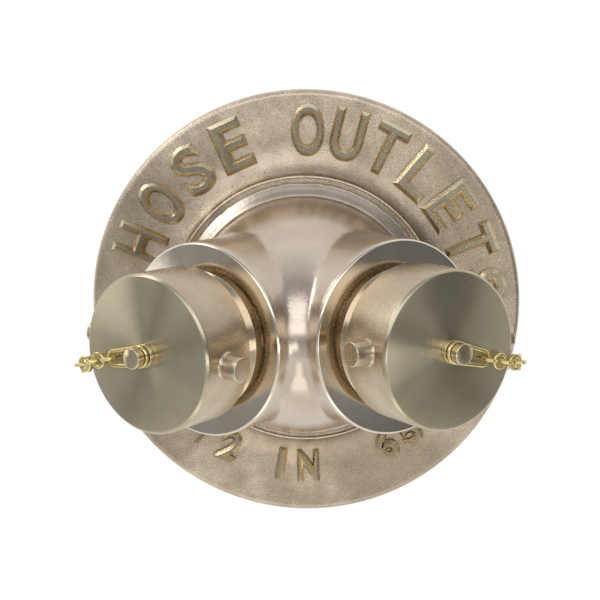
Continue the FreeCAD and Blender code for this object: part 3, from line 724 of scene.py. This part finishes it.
def makeChain(side, c):
    points = chainLine(side, c)
    reach = [0.0]
    for here, there in zip(points, points[1:]):
        reach.append(reach[-1] + (there - here).length)

    def at(distance):
        distance = min(max(distance, 0), reach[-1])
        index = max(1, next(i for i, value in enumerate(reach) if value >= distance))
        share = (distance - reach[index - 1]) / (reach[index] - reach[index - 1])
        return points[index - 1].lerp(points[index], share)

    loop, wire = c["loop"], c["wire"]
    first = 2 * loop - wire - ring["wire"] - c["hookPlay"]
    last = reach[-1] - 2 * loop + wire + anchor["wire"] + c["hookPlay"]
    count = math.ceil((last - first) / (4 * loop - 2 * wire - c["linkPlay"])) + 1
    links = []
    for index in range(count):
        where = first + (last - first) * index / (count - 1)
        tail, tip = at(where - loop), at(where + loop)
        along = (tip - tail).normalized()
        up = Vector((0, 0, 1))
        up = (up - along * up.dot(along)).normalized()
        for end, across in ((-1, along.cross(up)), (1, up)):
            centre = (tail + tip) / 2 + along * end * loop
            path = []
            for step in range(c["steps"]):
                angle = 2 * math.pi * step / c["steps"]
                path.append(centre + along * loop * math.cos(angle) + across * loop * math.sin(angle))
            links.append(tubeData(path, wire, along.cross(across), c["around"]))
    return meshPiece(side + "Chain", *joined(*links), outletPlace(side), [chainWire])


for side in sides:
    for piece, body, node, slotName in (
            (makeOutletEnd(side, outletEnd), "hydrant", "hydrant_body", "body_brass"),
            (makeCap(side, cap), side + "_cap", side + "_cap", "cap_brass"),
            (makeLugs(side, lug), side + "_cap", side + "_cap", "cap_brass"),
            (makeGasket(side, gasket), side + "_cap", side + "_gasket", "gasket_rubber"),
            (makeStud(side, stud), side + "_cap", side + "_chain_stud", "trim_brass"),
            (makeRing(side, ring), side + "_chain_ring", side + "_chain_ring", "trim_brass"),
            (makeAnchor(side, anchor), "hydrant", side + "_chain_anchor", "trim_brass")):
        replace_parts(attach(piece, body), node)
    piece = makeChain(side, chain)
    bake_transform(piece)
    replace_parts(piece, side + "_chain")
    print(side, "outlet dressed")


# round floor well below, fading to white towards its edge
stage = {"drop": -0.75, "radius": 1.3, "fadeFrom": 0.35, "fadeTo": 1.261, "colour": (0.82, 0.82, 0.81, 1),
         "roughness": 0.9, "around": 96}


def makeFloor(s):
    material, tree, shader = newFinish("paleFloor")
    shader.inputs["Base Color"].default_value = s["colour"]
    shader.inputs["Roughness"].default_value = s["roughness"]
    glow = addNode(tree, "ShaderNodeEmission", Color=(1, 1, 1, 1), Strength=1.0)
    path = addNode(tree, "ShaderNodeLightPath")
    reach = addNode(tree, "ShaderNodeVectorMath", operation="LENGTH")
    tree.links.new(addNode(tree, "ShaderNodeTexCoord").outputs["Object"], reach.inputs[0])
    fade = remap(tree, reach.outputs["Value"], s["fadeFrom"], s["fadeTo"], 0, 1)
    white = reckon(tree, "MULTIPLY", fade, path.outputs["Is Camera Ray"])
    for ray in ("Is Glossy Ray", "Is Transmission Ray"):
        white = reckon(tree, "MAXIMUM", white, path.outputs[ray])
    mix = addNode(tree, "ShaderNodeMixShader")
    tree.links.new(white, mix.inputs["Fac"])
    tree.links.new(shader.outputs["BSDF"], mix.inputs[1])
    tree.links.new(glow.outputs["Emission"], mix.inputs[2])
    tree.links.new(mix.outputs["Shader"], tree.nodes["Material Output"].inputs["Surface"])
    turns = [2 * math.pi * step / s["around"] for step in range(s["around"])]
    rim = [(s["radius"] * math.cos(turn), s["radius"] * math.sin(turn), 0) for turn in turns]
    return meshPiece("floor", rim, [tuple(range(s["around"]))], Matrix.Translation((0, 0, s["drop"])), [material])


makeFloor(stage)

# soft studio: strengths by degrees up from the front and over the top to the back, darker at both sides; white behind
studio = {"round": ((-180, 1.0), (-90, 0.8), (-60, 0.9), (-45, 0.95), (-28, 0.7), (-20, 0.7), (-12, 0.74), (-5, 0.46),
                    (14, 0.36), (22, 1.8), (48, 1.9), (55, 0.5), (80, 0.5), (92, 0.95), (105, 1.15), (125, 1.1),
                    (180, 1.0)),
          "brightest": 1.9, "sideStart": 0.6, "sideFull": 0.88, "leftSide": 0.34, "rightSide": 0.18,
          "behindStart": 100, "behindFull": 120, "tint": (0.96, 0.99, 1.05, 1)}


def makeWorld(s):
    world = bpy.data.worlds.new("studio")
    world.use_nodes = True
    bpy.context.scene.world = world
    tree = world.node_tree
    split = addNode(tree, "ShaderNodeSeparateXYZ")
    tree.links.new(addNode(tree, "ShaderNodeTexCoord").outputs["Generated"], split.inputs["Vector"])
    height = reckon(tree, "ARCTAN2", split.outputs["Z"], reckon(tree, "MULTIPLY", split.outputs["Y"], -1))
    bands = addNode(tree, "ShaderNodeValToRGB")
    stops = bands.color_ramp.elements
    while len(stops) < len(s["round"]):
        stops.new(0.5)
    for stop, (degrees, level) in zip(stops, s["round"]):
        stop.position = (degrees + 180) / 360
        stop.color = (level / s["brightest"],) * 3 + (1,)
    tree.links.new(remap(tree, height, -math.pi, math.pi, 0, 1), bands.inputs["Fac"])
    ahead = reckon(tree, "MULTIPLY", bands.outputs["Color"], s["brightest"])
    sideways = remap(tree, reckon(tree, "ABSOLUTE", split.outputs["X"], 0), s["sideStart"], s["sideFull"], 0, 1)
    level = addNode(tree, "ShaderNodeMix", data_type="FLOAT")
    tree.links.new(sideways, level.inputs["Factor"])
    tree.links.new(ahead, level.inputs[2])
    tree.links.new(remap(tree, split.outputs["X"], -1, 1, s["leftSide"], s["rightSide"]), level.inputs[3])
    room = tree.nodes["Background"]
    room.inputs["Color"].default_value = s["tint"]
    tree.links.new(level.outputs[0], room.inputs["Strength"])
    white = addNode(tree, "ShaderNodeBackground", Color=(1, 1, 1, 1), Strength=1.0)
    path = addNode(tree, "ShaderNodeLightPath")
    behind = remap(tree, reckon(tree, "ABSOLUTE", height, 0), math.radians(s["behindStart"]),
                   math.radians(s["behindFull"]), 0, 1)
    mirrored = reckon(tree, "MAXIMUM", path.outputs["Is Glossy Ray"], path.outputs["Is Transmission Ray"])
    seen = reckon(tree, "MAXIMUM", path.outputs["Is Camera Ray"], reckon(tree, "MULTIPLY", mirrored, behind))
    mix = addNode(tree, "ShaderNodeMixShader")
    tree.links.new(seen, mix.inputs["Fac"])
    tree.links.new(room.outputs["Background"], mix.inputs[1])
    tree.links.new(white.outputs["Background"], mix.inputs[2])
    tree.links.new(mix.outputs["Shader"], tree.nodes["World Output"].inputs["Surface"])


makeWorld(studio)

lamps = {"key": {"spot": (-1.18, -0.13, 1.06), "aim": (0, -0.05, 0), "width": 0.7, "height": 0.7, "power": 4.6},
         "left": {"spot": (-1.45, -0.16, 0.1), "aim": (0, -0.1, 0), "width": 0.25, "height": 0.6, "power": 0.55},
         "right": {"spot": (0.89, -1.2, -0.34), "aim": (0, -0.1, 0), "width": 0.3, "height": 0.5, "power": 1.0},
         "front": {"spot": (0.36, -1.6, -0.2), "aim": (0, -0.1, 0), "width": 0.8, "height": 0.35, "power": 1.6},
         "low": {"spot": (-0.03, -0.45, -0.66), "aim": (0, -0.1, 0), "width": 0.3, "height": 0.3, "power": 0.25}}


def makeLamp(name, v):
    light = bpy.data.lights.new(name, "AREA")
    light.shape, light.size, light.size_y, light.energy = "RECTANGLE", v["width"], v["height"], v["power"]
    lamp = bpy.data.objects.new(name, light)
    bpy.context.scene.collection.objects.link(lamp)
    lamp.location = v["spot"]
    lamp.rotation_euler = (Vector(v["aim"]) - Vector(v["spot"])).to_track_quat("-Z", "Y").to_euler()
    lamp.visible_camera = False


for name, values in lamps.items():
    makeLamp(name, values)

# camera, found from the circles of the plate, collars and caps
view = {"target": (-1.302, -60.0, 13.28), "azimuth": 2.11, "elevation": 10.248, "roll": -1.189, "distance": 816.7,
        "lens": 81.28, "sensor": 36.0, "clip": (0.01, 50)}


def makeCamera(v):
    azimuth, elevation, roll = (math.radians(v[key]) for key in ("azimuth", "elevation", "roll"))
    back = Vector((math.sin(azimuth) * math.cos(elevation), -math.cos(azimuth) * math.cos(elevation),
                   math.sin(elevation)))
    right = Vector((math.cos(azimuth), math.sin(azimuth), 0))
    up = back.cross(right)
    across = right * math.cos(roll) + up * math.sin(roll)
    upright = up * math.cos(roll) - right * math.sin(roll)
    data = bpy.data.cameras.new("camera")
    data.lens, data.sensor_width, data.sensor_fit = v["lens"], v["sensor"], "HORIZONTAL"
    data.clip_start, data.clip_end = v["clip"]
    camera = bpy.data.objects.new("camera", data)
    bpy.context.scene.collection.objects.link(camera)
    place = Matrix((across, upright, back)).transposed().to_4x4()
    place.translation = (Vector(v["target"]) + back * v["distance"]) * mm
    camera.matrix_world = place
    bpy.context.scene.camera = camera


makeCamera(view)
bpy.context.scene.view_settings.view_transform = "Standard"
print("stage, lamps and camera set")
